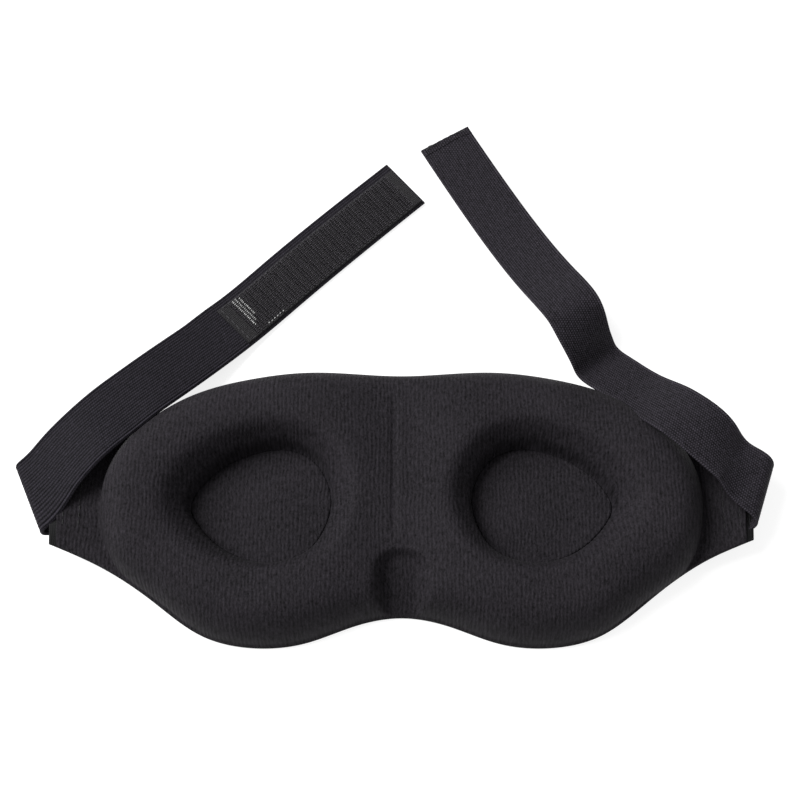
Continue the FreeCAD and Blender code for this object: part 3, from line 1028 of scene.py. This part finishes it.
def make_floor():
    """White paper, just under the mask."""
    half = FLOOR_HALF
    corners = [(-half, -half, 0), (half, -half, 0), (half, half, 0), (-half, half, 0)]
    mesh = bpy.data.meshes.new("floor")
    mesh.from_pydata(corners, [], [(0, 1, 2, 3)])
    floor = bpy.data.objects.new("floor", mesh)
    bpy.context.collection.objects.link(floor)
    floor.location.z = -FLOOR_GAP
    paper = Material("white_paper", (0.35, 0.35, 0.35), 0.9, specular=0.1)
    paper.shader.inputs["Emission Color"].default_value = (1, 1, 1, 1)
    paper.shader.inputs["Emission Strength"].default_value = 0.8
    mesh.materials.append(paper.material)


def make_light():
    """One soft key light from the upper left, and an even white surround."""
    data = bpy.data.lights.new("key", "AREA")
    data.shape = "DISK"
    data.size = KEY_SIZE
    data.energy = KEY_POWER
    key = bpy.data.objects.new("key", data)
    bpy.context.collection.objects.link(key)
    key.location = KEY_PLACE
    look_at(key, KEY_AIM)
    world = bpy.data.worlds.new("studio")
    bpy.context.scene.world = world
    world.use_nodes = True
    background = world.node_tree.nodes["Background"]
    background.inputs["Color"].default_value = (1, 1, 1, 1)
    background.inputs["Strength"].default_value = 0.5
    bpy.context.scene.view_settings.view_transform = "Standard"


def make_camera():
    data = bpy.data.cameras.new("camera")
    data.lens = CAMERA_LENS
    data.sensor_width = 36
    camera = bpy.data.objects.new("camera", data)
    bpy.context.collection.objects.link(camera)
    tilt = math.radians(CAMERA_TILT)
    back = Vector((0, -math.cos(tilt), math.sin(tilt)))
    camera.location = Vector(CAMERA_AIM) + CAMERA_DISTANCE * back
    look_at(camera, CAMERA_AIM)
    bpy.context.scene.camera = camera


# ---------------------------------------------------------------- build

make_camera()
make_floor()
make_light()

jersey = jersey_material("ribbed_jersey", (0.0121, 0.0107, 0.0130), 1.4)
floor_knit = jersey_material("cavity_knit", (0.0122, 0.0108, 0.0131), 1.4)
cover = knit_material("cover_knit", (0.007, 0.007, 0.0075))
# Both straps are the same elastic. The left one's colour is darker and the right one's lighter:
# painted shade and painted light for how the key light falls on each.
elastic_painted_shade = webbing_material("elastic_painted_shade", (0.0035, 0.0031, 0.0042), 0.4)
elastic_painted_light = webbing_material("elastic_painted_light", (0.0059, 0.0052, 0.0067), 0.7)
hook_nylon = tape_material("hook_tape", (0.0296, 0.0262, 0.0322), 0.25, 2.0)
# A paler, shinier copy of the hook tape's material: painted glint on the hooks where the light catches
# them.
painted_glint_hooks = tape_material("painted_glint_hooks", (0.3, 0.3, 0.3), 0.9, 2.0)
loop_nylon = tape_material("loop_tape", (0.014, 0.0135, 0.015), 0.2, 4.0)
thread = thread_material("thread", (0.007, 0.0067, 0.0076))
pale_thread = thread_material("pale_thread", (0.024, 0.023, 0.026))

make_face_pad().data.materials.append(jersey)
make_shell().data.materials.append(cover)
for side in ("left", "right"):
    make_cavity_floor(side).data.materials.append(floor_knit)

left_strap = Strap(LEFT_CREASE, LEFT_ROUTE, bow=0.0, spread=0.5)
right_strap = Strap(RIGHT_CREASE, RIGHT_ROUTE, bow=1.6, spread=0.0)
for side, strap, look in (("left", left_strap, elastic_painted_shade), ("right", right_strap, elastic_painted_light)):
    for piece in make_strap(side, strap, mirror=side == "left"):
        piece.data.materials.append(look)
    make_wing_seam(side, strap, mirror=side == "left").data.materials.append(thread)
for piece, look in zip(make_hook_tape(left_strap), (hook_nylon, painted_glint_hooks, pale_thread)):
    piece.data.materials.append(look)
for piece, look in zip(make_loop_tape(right_strap), (loop_nylon, thread)):
    piece.data.materials.append(look)
for piece, look in zip(make_hem(right_strap), (elastic_painted_light, pale_thread)):
    piece.data.materials.append(look)
